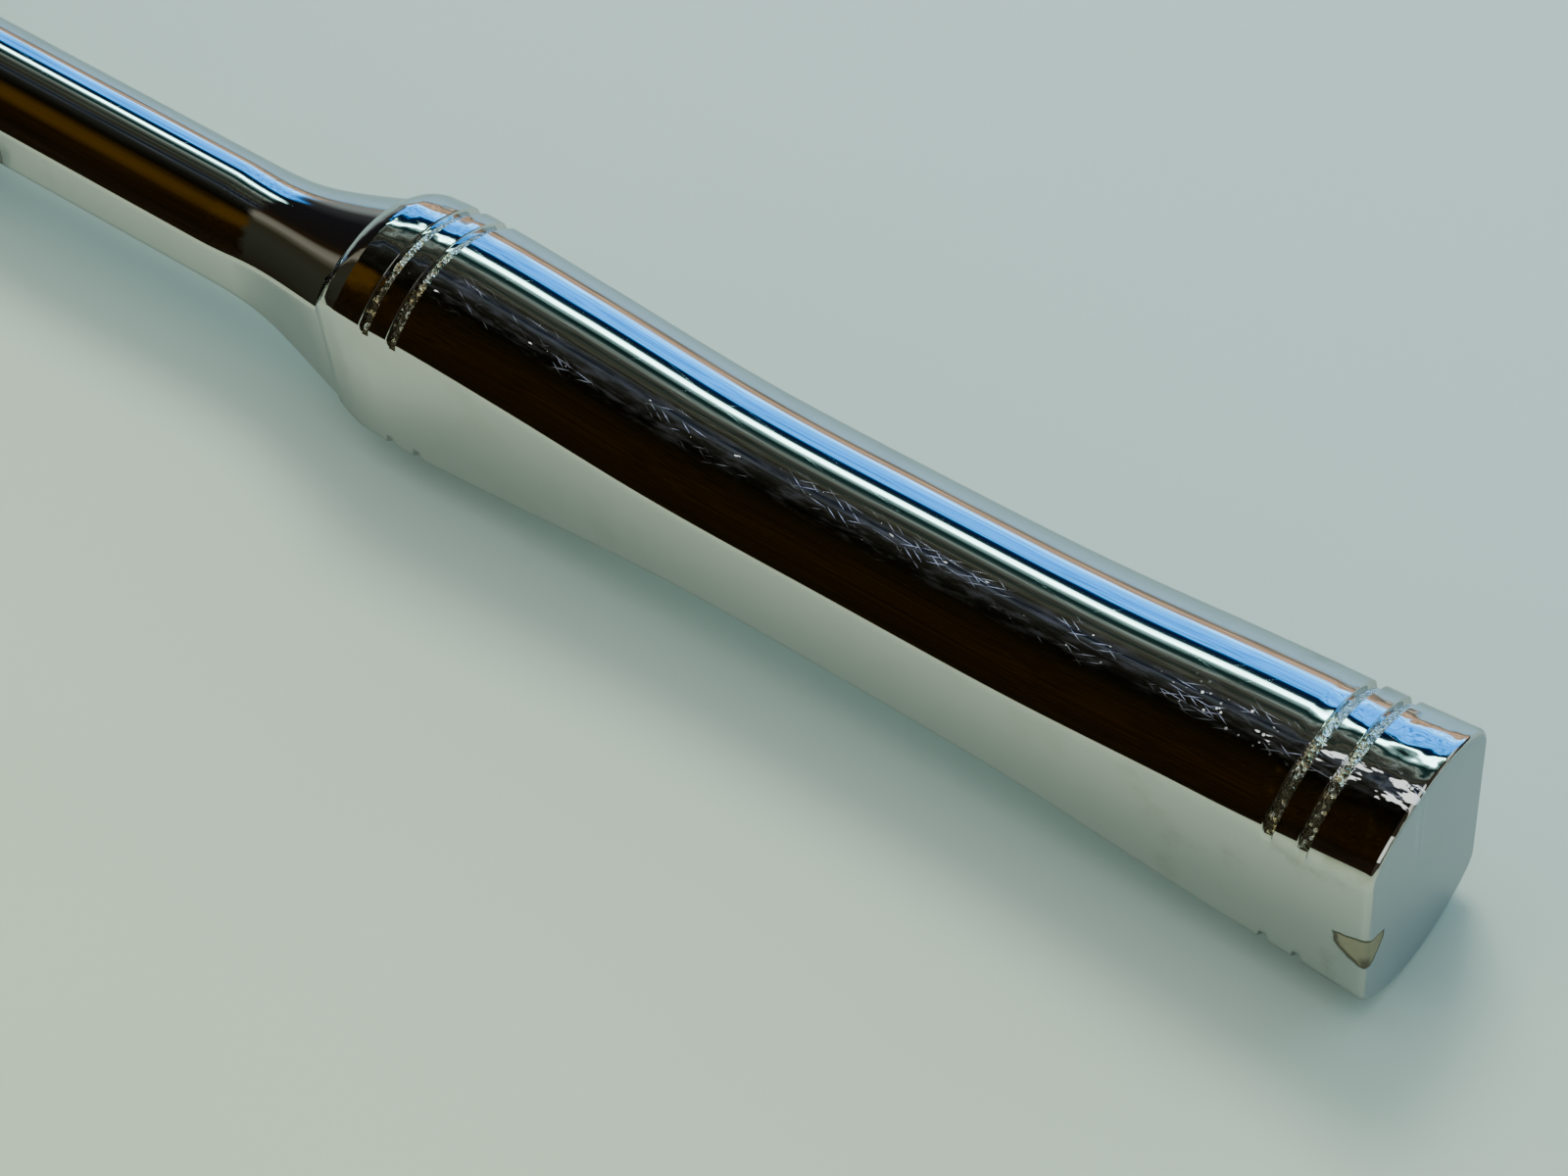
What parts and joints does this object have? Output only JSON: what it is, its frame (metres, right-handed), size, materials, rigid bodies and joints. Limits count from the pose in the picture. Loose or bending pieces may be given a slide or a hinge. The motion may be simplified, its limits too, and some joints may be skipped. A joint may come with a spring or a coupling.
{
  "type": "ratchet wrench",
  "caption": "Half-inch-drive reversible ratchet wrench with a polished chrome handle, flat-sided crowned grip, slim round neck, selector lever and quick-release button.",
  "frame": {"origin": "centre of the drive square's tip face", "axes": "+Z along the drive axis, out of the drive square; +X along the handle, from the drive axis to the butt"},
  "size_m": [0.278, 0.042, 0.0434],
  "materials": {
    "handle_forging": "bright decorative chrome over a polished forging, lightly scratched",
    "cover_plate": "bright chrome, flat ground",
    "cover_gasket": "oiled fibre",
    "cover_screw_left": "black oxide",
    "cover_screw_right": "black oxide",
    "drive_gear": "ground and lightly plated alloy steel",
    "thrust_washer": "sintered bronze",
    "wear_washer": "sintered bronze",
    "anvil_seal_upper": "matt",
    "anvil_seal_lower": "matt",
    "pawl": "hardened, oiled",
    "pawl_pin": "ground",
    "selector_lever": "bright chrome",
    "lever_seal": "matt",
    "lever_ring": "spring steel",
    "lever_plunger": "ground",
    "plunger_spring": "spring steel",
    "release_button": "bright chrome",
    "release_rod": "ground",
    "release_spring": "spring steel",
    "retention_ball": "polished bearing ball"
  },
  "bodies": {
    "handle": {"handle_forging": "handle_forging", "cover_plate": "cover_plate", "cover_gasket": "cover_gasket", "cover_screw_left": "cover_screw_left", "cover_screw_right": "cover_screw_right", "thrust_washer": "thrust_washer", "wear_washer": "wear_washer", "pawl_pin": "pawl_pin"},
    "gear": {"drive_gear": "drive_gear", "anvil_seal_upper": "anvil_seal_upper", "anvil_seal_lower": "anvil_seal_lower", "release_spring": "release_spring"},
    "pawl": {"pawl": "pawl"},
    "lever": {"selector_lever": "selector_lever", "lever_seal": "lever_seal", "lever_ring": "lever_ring", "plunger_spring": "plunger_spring"},
    "plunger": {"lever_plunger": "lever_plunger"},
    "release": {"release_button": "release_button", "release_rod": "release_rod"},
    "ball": {"retention_ball": "retention_ball"}
  },
  "joints": [
    {"name": "gear_spin", "type": "hinge", "parent": "handle", "child": "gear", "pos_m": [0, 0, -0.0275], "axis": [0, 0, 1], "continuous": true},
    {"name": "lever_flip", "type": "hinge", "parent": "handle", "child": "lever", "pos_m": [0.0335, 0, -0.04], "axis": [0, 0, 1], "range_deg": [0, 70]},
    {"name": "pawl_rock", "type": "hinge", "parent": "handle", "child": "pawl", "pos_m": [0.0235, 0, -0.0253], "axis": [0, 0, 1], "range_deg": [-8, 0]},
    {"name": "plunger_slide", "type": "slide", "parent": "lever", "child": "plunger", "axis": [0.8192, -0.5736, 0], "range_m": [0, 0.0008], "stiffness_N_per_m": 1500, "springref_m": -0.0005},
    {"name": "button_press", "type": "slide", "parent": "gear", "child": "release", "axis": [0, 0, 1], "range_m": [0, 0.0025], "stiffness_N_per_m": 1500, "springref_m": -0.001, "deforming": ["release_spring"]},
    {"name": "ball_retract", "type": "slide", "parent": "gear", "child": "ball", "axis": [0, 1, 0], "range_m": [0, 0.0012]}
  ],
  "couplings": [
    {"joint": "pawl_rock", "follows": "lever_flip", "ratio": -0.11428},
    {"joint": "ball_retract", "follows": "button_press", "ratio": 0.48}
  ]
}
